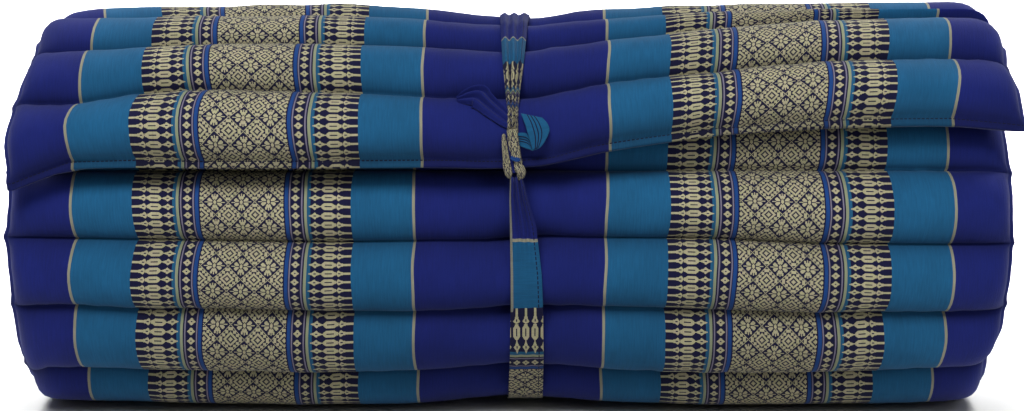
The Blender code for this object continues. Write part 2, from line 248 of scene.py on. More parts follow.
def outerRelief(s, along, turned, full, share):
    # What the outer face has beyond an even winding: fuller channels, hollows by the tie, lumps, puckers.
    m = mattress
    shown = (turned < m["shownTurn"])[:, None]
    fromTie = along - m["tieX"]
    hollow = m["tieHollow"] * np.exp(-((fromTie / m["tieHollowReach"]) ** 2)) * (1 - full) * (s > 0)
    onTop = np.clip(1 - np.abs(turned - m["topAt"]) / m["topReach"], 0, 1)[:, None]
    swell = readRow(swellRows, turned)[:, None] + readRow(topSwellRows, along) * onTop
    channel = np.round(s / m["pitch"] * 2) / 2
    toSeam = seamDistance(s)
    lumpLong, lumpRound = m["lumpSize"]
    smallLong, smallRound = m["smallLumpSize"]
    lumps = softNoise(along / lumpLong, s / lumpRound, seed=4)
    smallLumps = softNoise(along / smallLong + s * m["lumpSlant"], s / smallRound, seed=11) * full
    puckerPlace = channel * m["puckerStep"] + toSeam / m["puckerTurn"]
    puckers = softNoise(along / m["puckerWidth"], puckerPlace, seed=7)
    puckers = puckers * np.exp(-toSeam / m["puckerReach"]) * (s > 0)
    uneven = m["lump"] * (lumps + smallLumps / 2) + m["pucker"] * puckers
    smoothed = 1 - np.exp(-((fromTie / m["tieCalm"]) ** 4))
    waveLong, waveAcross = m["hemWaveSize"]
    wave = m["hemWave"] * softNoise(along / waveLong, s / waveAcross, seed=17) * (s < -m["hemWaveFrom"])
    return shown * (share * (swell * mm + smoothed * uneven) - hollow) + wave


def placeAlong(s, columns, turned, full):
    # Where the cloth lies along the roll: gathered by the seams, shifted by the winding, uneven at its sides.
    m = mattress
    half = m["width"] / 2
    along = np.clip(columns, -half, half)
    toSide = np.abs(along) / half
    gather = m["seamGather"] * (1 - full) * (turned < m["shownTurn"])[:, None]
    place = along * (1 - gather * (1 - toSide ** m["gatherFade"]))
    table = np.array(clothRows)
    place = place + readTable(table[:, 0], clothX, table[:, 1:], turned, along) * mm
    ear = m["seamEar"] * np.exp(-((seamDistance(s) / m["earReach"]) ** 2)) * np.sign(along)
    waver = m["sideWaver"] * softNoise(0 * along, s / m["sideWaverLength"], seed=23)
    place = place + (ear + waver) * toSide ** m["sideFade"]
    return place + np.sign(columns) * np.clip(np.abs(columns) - half, 0, None)


def mattressFace(lengths, columns, outside):
    # Points of the outer or the inner face: a row for each length, a column for each place along the roll.
    m = mattress
    half = m["width"] / 2
    angle, outerFace, innerFace, middle, full = faceRadii(lengths)
    full = full[:, None]
    turned = np.degrees(angle)
    along = np.clip(columns, -half, half)
    share = readRow(endRows, half - np.abs(columns))
    s = np.asarray(lengths)[:, None]
    face = outerFace if outside else innerFace
    radius = middle[:, None] + (face - middle)[:, None] * share
    if outside:
        radius = radius + outerRelief(s, along, turned, full, share)
    girth = 1 + softRow(girthRows, along, m["girthEasing"]) * mm / m["freeRadius"]
    seams = sorted(seamShift)
    shift = readTable(seams, shiftX, [seamShift[seam] for seam in seams], s[:, 0] / m["pitch"], along)
    direction = math.radians(m["freeAngle"]) + angle[:, None] + np.radians(shift)
    return rollPoint(placeAlong(s, columns, turned, full), direction, radius * girth)


def mattressLengths():
    # Fine rows where the cloth shows. The inner face uses some of the same rows, so that the side seams meet.
    m = mattress
    fine = (0, 0.025, 0.07, 0.14, 0.23, 0.33, 0.44, 0.56, 0.67, 0.77, 0.86, 0.93, 0.975)
    shared = (0, 0.14, 0.33, 0.56, 0.77, 0.93)
    plain = (0, 0.1, 0.3, 0.5, 0.7, 0.9)
    hemShares, keptHem = (1, 0.7, 0.4, 0.2), (1, 0.4)
    rows = [-m["hemLength"] * share for share in hemShares]
    kept = [share in keptHem for share in hemShares]
    for channel in range(m["channels"]):
        shows = woundAngle((channel + 1) * m["pitch"]) < math.radians(m["shownTurn"] + m["shownMargin"])
        for share in (fine if shows else plain):
            rows.append((channel + share) * m["pitch"])
            kept.append(share in shared if shows else True)
        if shows:
            lastFine = len(rows)
    total = m["channels"] * m["pitch"]
    rows += [total, total + m["hemLength"]]
    kept += [True, True]
    return np.array(rows), np.array(kept), lastFine


def pathLengths(points):
    return np.concatenate([[0], np.cumsum(np.linalg.norm(np.diff(points, axis=0), axis=1))])


def arcLengths(lengths):
    # Distance along the outer cloth in millimetres, so that the weave isn't stretched over the channels.
    angle, outerFace = faceRadii(lengths)[:2]
    return pathLengths(np.stack([outerFace * np.cos(angle), outerFace * np.sin(angle)], axis=-1)) / mm


def buildMesh(name, points, faces, maps):
    # Unused points are left out; maps are named layers of two numbers for each point.
    used = np.unique(np.concatenate([np.asarray(face) for face in faces]))
    renumber = np.full(len(points), -1)
    renumber[used] = np.arange(len(used))
    mesh = bpy.data.meshes.new(name)
    mesh.from_pydata(points[used].tolist(), [], [renumber[np.asarray(face)].tolist() for face in faces])
    corners = np.zeros(len(mesh.loops), int)
    mesh.loops.foreach_get("vertex_index", corners)
    for layerName, values in maps.items():
        layer = mesh.uv_layers.new(name=layerName)
        layer.uv.foreach_set("vector", values[used][corners].astype(np.float32).ravel())
    mesh.shade_smooth()
    mesh.validate()
    made = bpy.data.objects.new(name, mesh)
    bpy.context.scene.collection.objects.link(made)
    return made


def mattressColumns():
    # Close together near the sides, where the case rounds off. Turns that don't show use the coarse ones.
    m = mattress
    edge = [m["width"] / 2 - row[0] for row in endRows]
    inside = edge[-1]
    count = int(round(2 * inside / m["columnStep"]))
    middleColumns = list(np.linspace(-inside, inside, count + 1))
    columns = np.array([-x for x in edge[:-1]] + middleColumns + edge[-2::-1])
    lastPlain = len(columns) - len(edge)
    coarse = [i for i in range(len(columns))
              if i < len(edge) or i >= lastPlain or (i - len(edge)) % m["hiddenStride"] == 0]
    return columns, coarse


def mattressFaces(outerId, innerId, coarse, kept, lastFine):
    faces = []
    columnCount = outerId.shape[1]
    for a, b in zip(outerId[:lastFine - 1], outerId[1:lastFine]):
        faces += [(a[c], a[c + 1], b[c + 1], b[c]) for c in range(columnCount - 1)]
    for c, d in zip(coarse, coarse[1:]):
        faces.append((*outerId[lastFine - 1, c:d + 1], outerId[lastFine, d], outerId[lastFine, c]))
        faces += [(a[c], a[d], b[d], b[c]) for a, b in zip(outerId[lastFine:], outerId[lastFine + 1:])]
        faces += [(a[d], a[c], b[c], b[d]) for a, b in zip(innerId, innerId[1:])]
        faces.append((innerId[0, c], innerId[0, d], *outerId[0, c:d + 1][::-1]))
        faces.append((outerId[-1, c], outerId[-1, d], innerId[-1, d], innerId[-1, c]))
    keptRows = np.flatnonzero(kept)
    for k, (first, last) in enumerate(zip(keptRows, keptRows[1:])):
        faces.append((*outerId[first:last + 1, 0], innerId[k + 1, 0], innerId[k, 0]))
        faces.append((innerId[k, -1], innerId[k + 1, -1], *outerId[first:last + 1, -1][::-1]))
    return faces


def makeMattress():
    columns, coarse = mattressColumns()
    lengths, kept, lastFine = mattressLengths()
    outer, inner = mattressFace(lengths, columns, True), mattressFace(lengths[kept], columns, False)
    points = np.concatenate([outer, inner])
    ids = np.arange(len(points) * len(columns)).reshape(len(points), len(columns))
    faces = mattressFaces(ids[:len(lengths)], ids[len(lengths):], coarse, kept, lastFine)

    def bothFaces(values):
        return np.repeat(np.concatenate([values, values[kept]]), len(columns))

    u = np.tile(columns / mm, len(points))
    v = bothFaces(arcLengths(lengths))
    toHem = bothFaces(np.minimum(np.abs(lengths - mattress["hemStitch"]) / mm, awayFromStitches))
    # Painted shade: the crown share, kept for the material, darkens the cloth down in the seams.
    full = bothFaces(faceRadii(lengths)[4])
    made = buildMesh("mattress_case", points.reshape(-1, 3), faces,
                     {"cloth": np.stack([u, v], axis=-1), "seam": np.stack([toHem, 0 * toHem], axis=-1),
                      "shadeAndStitches": np.stack([full, 0 * full], axis=-1)})
    print("mattress:", len(made.data.polygons), "faces")
    return made


# The tie: one strip of the same cloth, gathered near the knot.
tie = {
    "stripWidth": 0.0286,
    "thickness": 0.0012,
    "clearance": 0.0014,
    "pleats": 3,
    "knotAngle": 22,
    "bandStart": 0.0166,  # the band's ends lie under the knot, this far above and below its middle
    "bandEnd": 0.0196,
    "steps": 210,
    "across": 30,
    "tailSteps": (10, 8),  # left and right, between two rows
    "tailFolds": 2.4,
    "tailRipple": 0.0003,
    "foldRoundness": 0.8,
    "creaseShift": 0.05,
    "creaseLength": 0.05,
    "creaseCount": 3,
    "creaseAround": 0.17,  # metres of creases for each radian round the roll
    "tailCreases": 3,  # where the creases of the tails start
    "leftCloth": (356.0, 1.0),  # place across the woven bands (mm), and how far it moves for each mm
    "rightCloth": (295.5, 0.5),
    "fullness": 0.8,  # given the painted seam shade of this part of a channel
    "motifShift": 0.8,  # where the woven columns fall across the strip (mm)
    "hemColumn": 26,  # the strip's own narrow hem, of its columns across
    "tailStitches": (9, 14, 19),
    "tailShare": 0.5,  # the right tail is folded under along one edge, and this share of its cut shows
    "selvageFrom": 334,  # degrees round the roll where the pale selvage shows
    "selvageColumns": [0, 1, 2, -3, -2, -1],
    "knotSteps": 12,
    "knotSides": 48,
    "knotRidges": 5,
    "ridgeDepth": 0.24,
    "ridgeOffset": 1.7,  # radians from one leg of the knot to the next
    "ridgeTwist": 55,  # radians for each metre
    "knotFlatness": 0.86,
    "knotCrowding": 1.5,  # the gathered cloth's bands lie this much closer
}

tieRows = [  # degrees round the roll, x of the centre, visible width
    (27, 0.0005, 0.0085), (34, 0.0005, 0.0088), (41, 0.0006, 0.0120), (52, 0.0010, 0.0175),
    (64, 0.0015, 0.0205), (85, 0.0020, 0.0240), (110, 0.0030, 0.0275), (180, 0.0060, 0.0284),
    (290, 0.0110, 0.0284), (318, 0.0118, 0.0270), (335, 0.0118, 0.0256), (346, 0.0112, 0.0246),
    (362, 0.0086, 0.0206), (370, 0.0052, 0.0146), (377, 0.0032, 0.0092),
]
pleatShareRows = [  # degrees round the roll, share of the strip's fullness that stands up in pleats
    (27, 1.0), (70, 1.0), (110, 0.6), (300, 0.3), (345, 0.25), (354, 0.6), (362, 0.95), (377, 1.0),
]
tieClothRows = [  # degrees round the roll, place across the woven bands (mm)
    (27, 218.0), (33.9, 242.1), (40.2, 262.0), (49.3, 294.1), (61.1, 341.7), (76, 384.0), (80, 545.0),
    (296, -208.7), (310.3, -242.1), (319.4, -262.0), (335, -294.1), (357.3, -341.7), (377, -386.0),
]
leftEndRows = [  # x, height above the knot's middle, lift off the roll, width, height of the folds (mm)
    (0.5, 24.5, 0.4, 9.0, 1.4), (-5.9, 29.0, 1.6, 12.7, 2.2), (-15.6, 37.4, 3.0, 15.5, 3.2),
    (-22.6, 44.6, 3.9, 17.5, 4.4), (-26.2, 48.2, 4.3, 20.5, 5.0), (-30.4, 49.6, 4.0, 16.0, 4.6),
    (-36.6, 49.2, 3.2, 11.0, 3.4), (-43.0, 48.6, 2.0, 4.4, 1.4),
]
rightEndRows = [  # x and height of its inner edge, then of its outer edge, and lift (mm)
    (3.0, 17.0, 3.2, 8.0, 1.6), (10.7, 16.6, 11.0, 5.0, 2.2), (14.0, 11.2, 15.0, 3.5, 2.8),
    (15.4, 4.8, 16.4, 3.0, 3.6), (15.9, 3.4, 23.1, 6.2, 4.6), (13.3, 11.9, 28.9, 16.6, 5.2),
    (10.4, 21.7, 27.7, 22.4, 5.2), (8.6, 27.2, 25.4, 25.8, 5.0), (6.8, 32.2, 23.2, 28.2, 4.6),
]
# Each leg of the knot: where its cloth comes from and whether the bands run along it (mm), then rows of x,
# height above the knot's middle, lift and half width (mm).
knotStrands = {
    "core": (400.0, 0, [
        (0.0, 14.8, 3.4, 3.4), (0.6, 5.0, 3.6, 3.8), (1.5, -6.0, 3.6, 3.8), (1.6, -15.0, 3.4, 3.4),
    ]),
    "left": (206.0, 1, [
        (-6.2, 16.4, 1.6, 0.8), (-6.4, 14.0, 3.4, 1.6), (-6.0, 9.0, 4.8, 2.1), (-5.0, 0.0, 5.6, 2.5),
        (-3.8, -9.0, 5.2, 3.3), (-2.6, -16.0, 4.2, 3.1), (-1.8, -19.6, 2.6, 1.4),
    ]),
    "right": (199.0, 1, [
        (0.0, 18.5, 4.8, 4.2), (1.4, 8.0, 7.4, 4.4), (3.8, -4.0, 7.4, 3.8), (5.4, -8.5, 6.2, 3.2),
    ]),
    "lobe": (214.0, 1, [
        (2.6, -7.5, 5.6, 2.4), (5.0, -11.0, 7.0, 3.9), (7.0, -15.6, 6.2, 3.9), (6.6, -19.2, 4.6, 2.9),
        (6.2, -21.6, 2.8, 1.2),
    ]),
    "fold": (243.5, 0, [(-0.6, -3.8, 8.4, 1.6), (2.8, -5.8, 10.4, 2.2), (6.0, -5.6, 9.0, 1.7)]),
}


def hullOf(points):
    def halfHull(ordered):
        found = []
        for point in ordered:
            while len(found) > 1:
                (ax, ay), (bx, by) = found[-2:]
                if (bx - ax) * (point[1] - ay) - (by - ay) * (point[0] - ax) > 0:
                    break
                found.pop()
            found.append(point)
        return found[:-1]

    ordered = sorted(set(points))
    return halfHull(ordered) + halfHull(ordered[::-1])


def tieHull():
    lengths = mattressLengths()[0]
    ring = mattressFace(lengths, np.array([mattress["tieX"]]), True)[:, 0]
    return hullOf([(p[1] - mattress["axis"][1], p[2] - axisHeight) for p in ring.tolist()])


tightOutline = tieHull()


def tightRadius(direction):
    toward = (-math.cos(direction), math.sin(direction))
    nearest = mattress["freeRadius"] * 2
    for (ax, ay), (bx, by) in zip(tightOutline, tightOutline[1:] + tightOutline[:1]):
        normal = (by - ay, ax - bx)
        facing = normal[0] * toward[0] + normal[1] * toward[1]
        if facing > hair:
            nearest = min(nearest, (normal[0] * ax + normal[1] * ay) / facing)
    return nearest


def outwardAt(direction):
    return np.array((0, -math.cos(direction), math.sin(direction)))


def tiePlace(x, direction, radius):
    centreX, centreY = mattress["axis"]
    return np.array((x + centreX, centreY, axisHeight)) + radius * outwardAt(direction)


def stripRing(centre, across, outward, width, foldHeight, folds, at):
    # One section of a strip of cloth: its upper face, then its underside back, with the place across it (mm).
    t = tie
    share = np.linspace(0, 1, t["across"] + 1)
    creases = softNoise(at / t["creaseLength"], share * t["creaseCount"], seed=21)
    drift = t["creaseShift"] * creases * np.sin(math.pi * share)
    rise = foldHeight * (0.5 - 0.5 * np.cos(2 * math.pi * folds * (share + drift))) ** t["foldRoundness"]
    offset = (share - 0.5) * width
    lower = centre + offset[:, None] * across + rise[:, None] * outward
    upper = lower + outward * t["thickness"]
    place = pathLengths(np.stack([offset, rise], axis=-1)) / mm
    place = place - place[-1] / 2
    return np.concatenate([upper, lower[::-1]]), np.concatenate([place, place[::-1]])


def loftStrip(name, rings, uPlaces, vPlaces, stitchColumns, selvage=None):
    # The seam map holds the distance to a line of stitches (mm), and 1 on a selvage. The last map's first
    # number is the crown share that sets the painted seam shade, and its second number is 1 where the
    # stitches are close, as on the end that has more than one line of them.
    count = len(rings[0])
    ids = np.arange(len(rings) * count).reshape(len(rings), count)
    faces = []
    for a, b in zip(ids, ids[1:]):
        faces += [(a[i], a[(i + 1) % count], b[(i + 1) % count], b[i]) for i in range(count)]
    for row in (ids[0][::-1], ids[-1]):
        faces += [(row[i], row[i + 1], row[count - 2 - i], row[count - 1 - i]) for i in range(count // 2 - 1)]
    places = np.array(vPlaces)
    toStitch = np.full(places.shape, awayFromStitches)
    for column in stitchColumns:
        toStitch = np.minimum(toStitch, np.abs(places - places[:, column:column + 1]))
    edge = np.zeros(places.shape) if selvage is None else selvage
    clothMap = np.stack([np.repeat(uPlaces, count), places.ravel() + tie["motifShift"]], axis=-1)
    seamMap = np.stack([toStitch.ravel(), edge.ravel()], axis=-1)
    shadeAndStitchesMap = np.tile((tie["fullness"], float(len(stitchColumns) > 1)), (len(clothMap), 1))
    return buildMesh(name, np.concatenate(rings), faces,
                     {"cloth": clothMap, "seam": seamMap, "shadeAndStitches": shadeAndStitchesMap})


def pleatHeight(width, degrees):
    full = tie["stripWidth"] / (2 * tie["pleats"])
    drawn = min(width / (2 * tie["pleats"]), full)
    return math.sqrt(full**2 - drawn**2) * readRow(pleatShareRows, degrees)


def makeTieBand():
    t = tie
    knot = math.radians(t["knotAngle"])
    first = knot + t["bandStart"] / mattress["freeRadius"]
    last = knot + 2 * math.pi - t["bandEnd"] / mattress["freeRadius"]
    rings, vPlaces, uPlaces, centres = [], [], [], []
    selvage = np.zeros((t["steps"] + 1, 2 * t["across"] + 2))
    for i in range(t["steps"] + 1):
        direction = first + (last - first) * i / t["steps"]
        degrees = math.degrees(direction)
        x, width = readRow(tieRows, degrees, 1), readRow(tieRows, degrees, 2)
        centre = tiePlace(x, direction, tightRadius(direction) + t["clearance"])
        ring, places = stripRing(centre, np.array((1.0, 0, 0)), outwardAt(direction), width,
                                 pleatHeight(width, degrees), t["pleats"], direction * t["creaseAround"])
        selvage[i, t["selvageColumns"]] = degrees > t["selvageFrom"]
        rings.append(ring)
        vPlaces.append(places)
        uPlaces.append(readRow(tieClothRows, degrees))
        centres.append(centre)
    made = loftStrip("tie_strip", rings, np.array(uPlaces), vPlaces, [t["hemColumn"]], selvage)
    return made, pathLengths(centres)[-1]


def knotPlace(x, height, lift):
    direction = math.radians(tie["knotAngle"]) + height * mm / mattress["freeRadius"]
    return tiePlace(x * mm, direction, tightRadius(direction) + lift * mm), direction


def smoothRows(rows, steps):
    # A smooth curve through the rows.
    rows = np.array(rows, float)
    padded = np.vstack([2 * rows[0] - rows[1], rows, 2 * rows[-1] - rows[-2]])
    found = []
    for a, b, c, d in zip(padded, padded[1:], padded[2:], padded[3:]):
        for step in range(steps):
            t = step / steps
            square = (2 * a - 5 * b + 4 * c - d) * t**2
            cube = (3 * b - a - 3 * c + d) * t**3
            found.append((2 * b + (c - a) * t + square + cube) / 2)
    return found + [rows[-1]]


def pathFrames(places):
    points = [place[0] for place in places]
    frames = []
    for i, (point, direction) in enumerate(places):
        along = points[min(i + 1, len(points) - 1)] - points[max(i - 1, 0)]
        across = np.cross(along, outwardAt(direction))
        across /= np.linalg.norm(across)
        frames.append((point, across, np.cross(across, along / np.linalg.norm(along))))
    return frames


def loftFreeEnd(name, sections, clothPlace, stitchColumns):
    # Each section is its middle, the ways across and outward, its width and the height of its folds.
    lengths = pathLengths([section[0] for section in sections])
    rings, vPlaces = [], []
    clothStart, clothShare = clothPlace
    for (centre, across, outward, width, foldHeight), length in zip(sections, lengths):
        ring, places = stripRing(centre, across, outward, width, foldHeight, tie["tailFolds"],
                                 length + tie["tailCreases"])
        rings.append(ring)
        vPlaces.append(places)
    made = loftStrip(name, rings, clothStart + lengths / mm * clothShare, vPlaces, stitchColumns)
    return made, lengths[-1]


def makeLeftEnd():
    rows = smoothRows(leftEndRows, tie["tailSteps"][0])
    frames = pathFrames([knotPlace(*row[:3]) for row in rows])
    sections = [(*placed, row[3] * mm, row[4] * mm) for placed, row in zip(frames, rows)]
    return loftFreeEnd("tie_tail_left", sections, tie["leftCloth"], [])


def makeRightEnd():
    # Given by both its edges, because it is pinched where it folds back over itself.
    sections = []
    for row in smoothRows(rightEndRows, tie["tailSteps"][1]):
        inner, innerWay = knotPlace(row[0], row[1], row[4])
        outer, outerWay = knotPlace(row[2], row[3], row[4])
        width = np.linalg.norm(outer - inner)
        outward = outwardAt((innerWay + outerWay) / 2)
        sections.append(((inner + outer) / 2, (outer - inner) / width, outward, width, tie["tailRipple"]))
    return loftFreeEnd("tie_tail_right", sections, tie["rightCloth"], tie["tailStitches"])


def makeKnot():
    # Each leg of the knot is the strip gathered into a bundle, with ridges where its folds lie.
    t = tie
    sides = t["knotSides"]
    points, faces, clothMap = [], [], []
    for order, (clothStart, bandsRun, rows) in enumerate(knotStrands.values()):
        rows = smoothRows(rows, t["knotSteps"])
        frames = pathFrames([knotPlace(*row[:3]) for row in rows])
        lengths = pathLengths([placed[0] for placed in frames])
        base = len(points)
        for row, length, (point, across, outward) in zip(rows, lengths, frames):
            for side in range(sides):
                turn = 2 * math.pi * side / sides
                ridgeTurn = t["knotRidges"] * turn + t["ridgeOffset"] * order + t["ridgeTwist"] * length
                radius = row[3] * mm * (1 - t["ridgeDepth"] * (0.5 + 0.5 * math.cos(ridgeTurn)) ** 2)
                rise = radius * t["knotFlatness"] * math.sin(turn)
                points.append(point + across * radius * math.cos(turn) + outward * rise)
                spread = abs(side / sides * 2 - 1) * t["knotCrowding"] * t["stripWidth"] / mm
                clothMap.append((clothStart + length / mm * bandsRun, spread))
        ids = base + np.arange(len(rows) * sides).reshape(len(rows), sides)
        for a, b in zip(ids, ids[1:]):
            faces += [(a[i], a[(i + 1) % sides], b[(i + 1) % sides], b[i]) for i in range(sides)]
        faces += [tuple(ids[0][::-1]), tuple(ids[-1])]
    seamMap = np.tile((awayFromStitches, 0.0), (len(clothMap), 1))
    # The knot carries the tie's painted seam shade.
    shadeAndStitchesMap = np.tile((t["fullness"], 0.0), (len(clothMap), 1))
    return buildMesh("tie_bundle", np.array(points), faces,
                     {"cloth": np.array(clothMap), "seam": seamMap, "shadeAndStitches": shadeAndStitchesMap})


def toLinear(hexColour):
    parts = [int(hexColour[i:i + 2], 16) / 255 for i in (1, 3, 5)]
    return tuple(c / 12.92 if c <= 0.04045 else ((c + 0.055) / 1.055) ** 2.4 for c in parts) + (1.0,)


def addNode(tree, kind, settings=None, links=None):
    node = tree.nodes.new("ShaderNode" + kind)
    for name, value in (settings or {}).items():
        if isinstance(name, str) and hasattr(node, name):
            setattr(node, name, value)
        else:
            node.inputs[name].default_value = value
    for name, source in (links or {}).items():
        tree.links.new(source.outputs[0] if hasattr(source, "outputs") else source, node.inputs[name])
    return node


# Plain-woven cotton: a matt, finely ribbed face with a faint soft light at its edges. Its warp is banded in
# colours, and cream pattern threads lie on top of it.
cloth = {
    "navy": "#141438",
    "darkBlue": "#15206A",
    "stripeBlue": "#1B4484",
    "teal": "#195A84",
    "tealBlue": "#20587C",
    "greenCream": "#8F967A",
    "greyLilac": "#7A7488",
    "cream": "#B0B084",
    "pinkCream": "#B9AC94",
    "creamLine": "#949280",
    "selvage": "#84847A",
    "threadPitch": 1.1,  # mm; the real threads are about 0.4 mm apart, drawn coarser so that they show
    "thread": "#121638",
    "stitchPitch": 3.4,  # mm
    "stitchLength": 2.312,
    "stitchWidth": 0.9,
    "blockCentre": 209.7,
    "seamShadeTone": 0.52,  # painted shade: the cloth is darkened down in the seams' grooves, against the crowns
    "step": 0.62,  # mm across the cloth, one woven step of the borders
    "stepAlong": 0.46,
    "motifSteps": 8,  # half a motif of the borders
    "latticeStep": 0.746,
    "latticeAlong": 0.782,
    "latticeHalf": 32.4,
    "waver": 2.4,  # mm that the bands wander
    "waverSize": 50.0,
    "creamPatch": 6.25,
    "slubSize": (1 / 0.9, 1 / 0.06),  # a thicker stretch of yarn, across and along
    "slubTones": (0.92, 1.08),
    "fadePatch": 100 / 3,
    "fadeTones": (0.93, 1.07),
    "noiseRange": (0.3, 0.7),  # where nearly all of the noise lies
    "threadRelief": 0.25,
    "patternRelief": 0.8,
    "stitchSink": 2.0,
    "reliefStrength": 0.35,
    "relief": 0.0004,  # m
    "roughness": 0.88,
    "ior": 1.45,
    "shine": 0.25,
    "sheen": 0.10,
    "sheenRoughness": 0.45,
    "sheenTint": "#C9CCE0",
}

groundBands = [  # up to this distance from a block's centre (mm), colour
    (33.2, "navy"), (36.0, "stripeBlue"), (36.4, "navy"), (37.6, "greyLilac"), (45.7, "navy"),
    (47.0, "greyLilac"), (47.7, "navy"), (49.9, "greenCream"), (52.9, "tealBlue"), (84.4, "navy"),
    (131.2, "teal"), (132.9, "creamLine"), (140.0, "darkBlue"),
]

# The two borders, by columns from the block outwards. Each word is one column of steps from the motif's
# middle line outwards, a number repeats it, and a 0 in front of 1s is a motif's dark eye.
borders = {
    "diamond": (38.5, [
        ("1", 1), ("11", 1), ("111", 1), ("11111", 1), ("011111", 1), ("011111", 1), ("11111", 1), ("111", 1),
        ("11", 1), ("1", 1),
    ]),
    "arrow": (51.9, [
        ("1", 2), ("11", 2), ("111", 1), ("1111", 1), ("01111", 1), ("011111", 1), ("01111", 1), ("111", 1),
        ("111", 1), ("11", 2), ("1", 3), ("111", 1), ("1111", 1), ("11111", 1), ("111111", 1), ("011111", 9),
        ("111111", 1), ("11111", 1), ("1111", 1), ("111", 2), ("1", 1), ("111", 1), ("11111", 1),
        ("011111", 1), ("01111", 1), ("0111", 1), ("111", 3), ("11", 10),
    ]),
}

# A quarter of the lattice: the flower's middle is the first step, the small diamond's the last.
latticeRows = [
    "110000011110001",
    "110111100000010",
    "100111110000100",
    "010011110001111",
    "111001100010111",
    "111000000100111",
    "111100001111000",
    "101100010111001",
    "101100100111011",
    "100001111000111",
    "000010111001110",
    "000100111011100",
    "001111000111001",
    "010111001110011",
    "100111011100111",
]


def warpBands(tree, distance):
    reach = groundBands[-1][0]
    place = addNode(tree, "Math", {"operation": "DIVIDE", 1: reach, "use_clamp": True}, {0: distance})
    ground = addNode(tree, "ValToRGB", None, {0: place})
    fillRamp(ground.color_ramp, [(limit / reach, toLinear(cloth[colour])) for limit, colour in groundBands])
    return ground


def borderMask(tree, distance, along):
    c = cloth
    half = c["motifSteps"] * c["stepAlong"]
    motif = addNode(tree, "Math", {"operation": "PINGPONG", 1: half}, {0: along})
    motif = addNode(tree, "Math", {"operation": "DIVIDE", 1: c["stepAlong"]}, {0: motif})
    motif = addNode(tree, "Math", {"operation": "FLOOR"}, {0: motif})
    masks = []
    for borderFrom, columns in borders.values():
        count = sum(times for word, times in columns)
        width = c["step"] * count
        steps = addNode(tree, "Math", {"operation": "SUBTRACT", 1: borderFrom}, {0: distance})
        steps = addNode(tree, "Math", {"operation": "DIVIDE", 1: width, "use_clamp": True}, {0: steps})
        words = addNode(tree, "ValToRGB", None, {0: steps})
        stops, at = [], 0
        for word, times in columns:
            at += times
            stops.append((at / count, (wordValue(word),) * 3 + (1.0,)))
        fillRamp(words.color_ramp, stops)
        inside = addNode(tree, "Math",
                         {"operation": "COMPARE", 1: borderFrom + width / 2, 2: width / 2}, {0: distance})
        woven = addBitTest(tree, words, motif)
        masks.append(addNode(tree, "Math", {"operation": "MULTIPLY"}, {0: woven, 1: inside}))
    return addNode(tree, "Math", {"operation": "MAXIMUM"}, {0: masks[0], 1: masks[1]})


def latticeMask(tree, fromCentre, distance, along):
    # Flowers and small diamonds: the quarter in latticeRows, mirrored both ways.
    c = cloth
    count = len(latticeRows)
    places = []
    for source, size in ((fromCentre, c["latticeStep"]), (along, c["latticeAlong"])):
        reach = (count - 1) * size
        place = addNode(tree, "Math", {"operation": "PINGPONG", 1: reach}, {0: source})
        place = addNode(tree, "Math", {"operation": "DIVIDE", 1: size}, {0: place})
        place = addNode(tree, "Math", {"operation": "ADD", 1: 0.5}, {0: place})
        places.append(addNode(tree, "Math", {"operation": "FLOOR"}, {0: place}))
    row = addNode(tree, "Math", {"operation": "ADD", 1: 0.5}, {0: places[1]})
    row = addNode(tree, "Math", {"operation": "DIVIDE", 1: float(count)}, {0: row})
    words = addNode(tree, "ValToRGB", None, {0: row})
    stops = [((i + 1) / count, (wordValue(word),) * 3 + (1.0,)) for i, word in enumerate(latticeRows)]
    fillRamp(words.color_ramp, stops)
    woven = addBitTest(tree, words, places[0])
    inside = addNode(tree, "Math", {"operation": "LESS_THAN", 1: c["latticeHalf"]}, {0: distance})
    return addNode(tree, "Math", {"operation": "MULTIPLY"}, {0: woven, 1: inside})


def sewingThread(tree, across, seamParts, shadeAndStitchesParts):
    # Short dark dashes along a line, or a whole line where the stitches are close.
    c = cloth
    onLine = addNode(tree, "Math", {"operation": "LESS_THAN", 1: c["stitchWidth"] / 2},
                     {0: seamParts.outputs[0]})
    dash = addNode(tree, "Math", {"operation": "PINGPONG", 1: c["stitchPitch"] / 2}, {0: across})
    dash = addNode(tree, "Math", {"operation": "LESS_THAN", 1: c["stitchLength"] / 2}, {0: dash})
    dash = addNode(tree, "Math", {"operation": "MAXIMUM"}, {0: dash, 1: shadeAndStitchesParts.outputs[1]})
    return onLine, addNode(tree, "Math", {"operation": "MULTIPLY"}, {0: onLine, 1: dash})


def yarnToneAndSeamShade(tree, uv, slubs, shadeAndStitchesParts):
    # Uneven hand-spun yarn and faded patches, and painted shade that darkens the cloth down in the seams.
    c = cloth
    low, high = c["noiseRange"]
    patches = addNode(tree, "TexNoise",
                      {"noise_dimensions": "2D", "Scale": 1 / c["fadePatch"], "Detail": 3.0}, {"Vector": uv})
    # painted shade: from the seams' dark tone up to full brightness on the crowns
    tone = addNode(tree, "MapRange", {1: 0.0, 2: 1.0, 3: c["seamShadeTone"], 4: 1.0},
                   {0: shadeAndStitchesParts.outputs[0]})
    for noise, (dark, light) in ((slubs, c["slubTones"]), (patches, c["fadeTones"])):
        part = addNode(tree, "MapRange", {1: low, 2: high, 3: dark, 4: light}, {0: noise.outputs[0]})
        tone = addNode(tree, "Math", {"operation": "MULTIPLY"}, {0: tone, 1: part})
    return tone


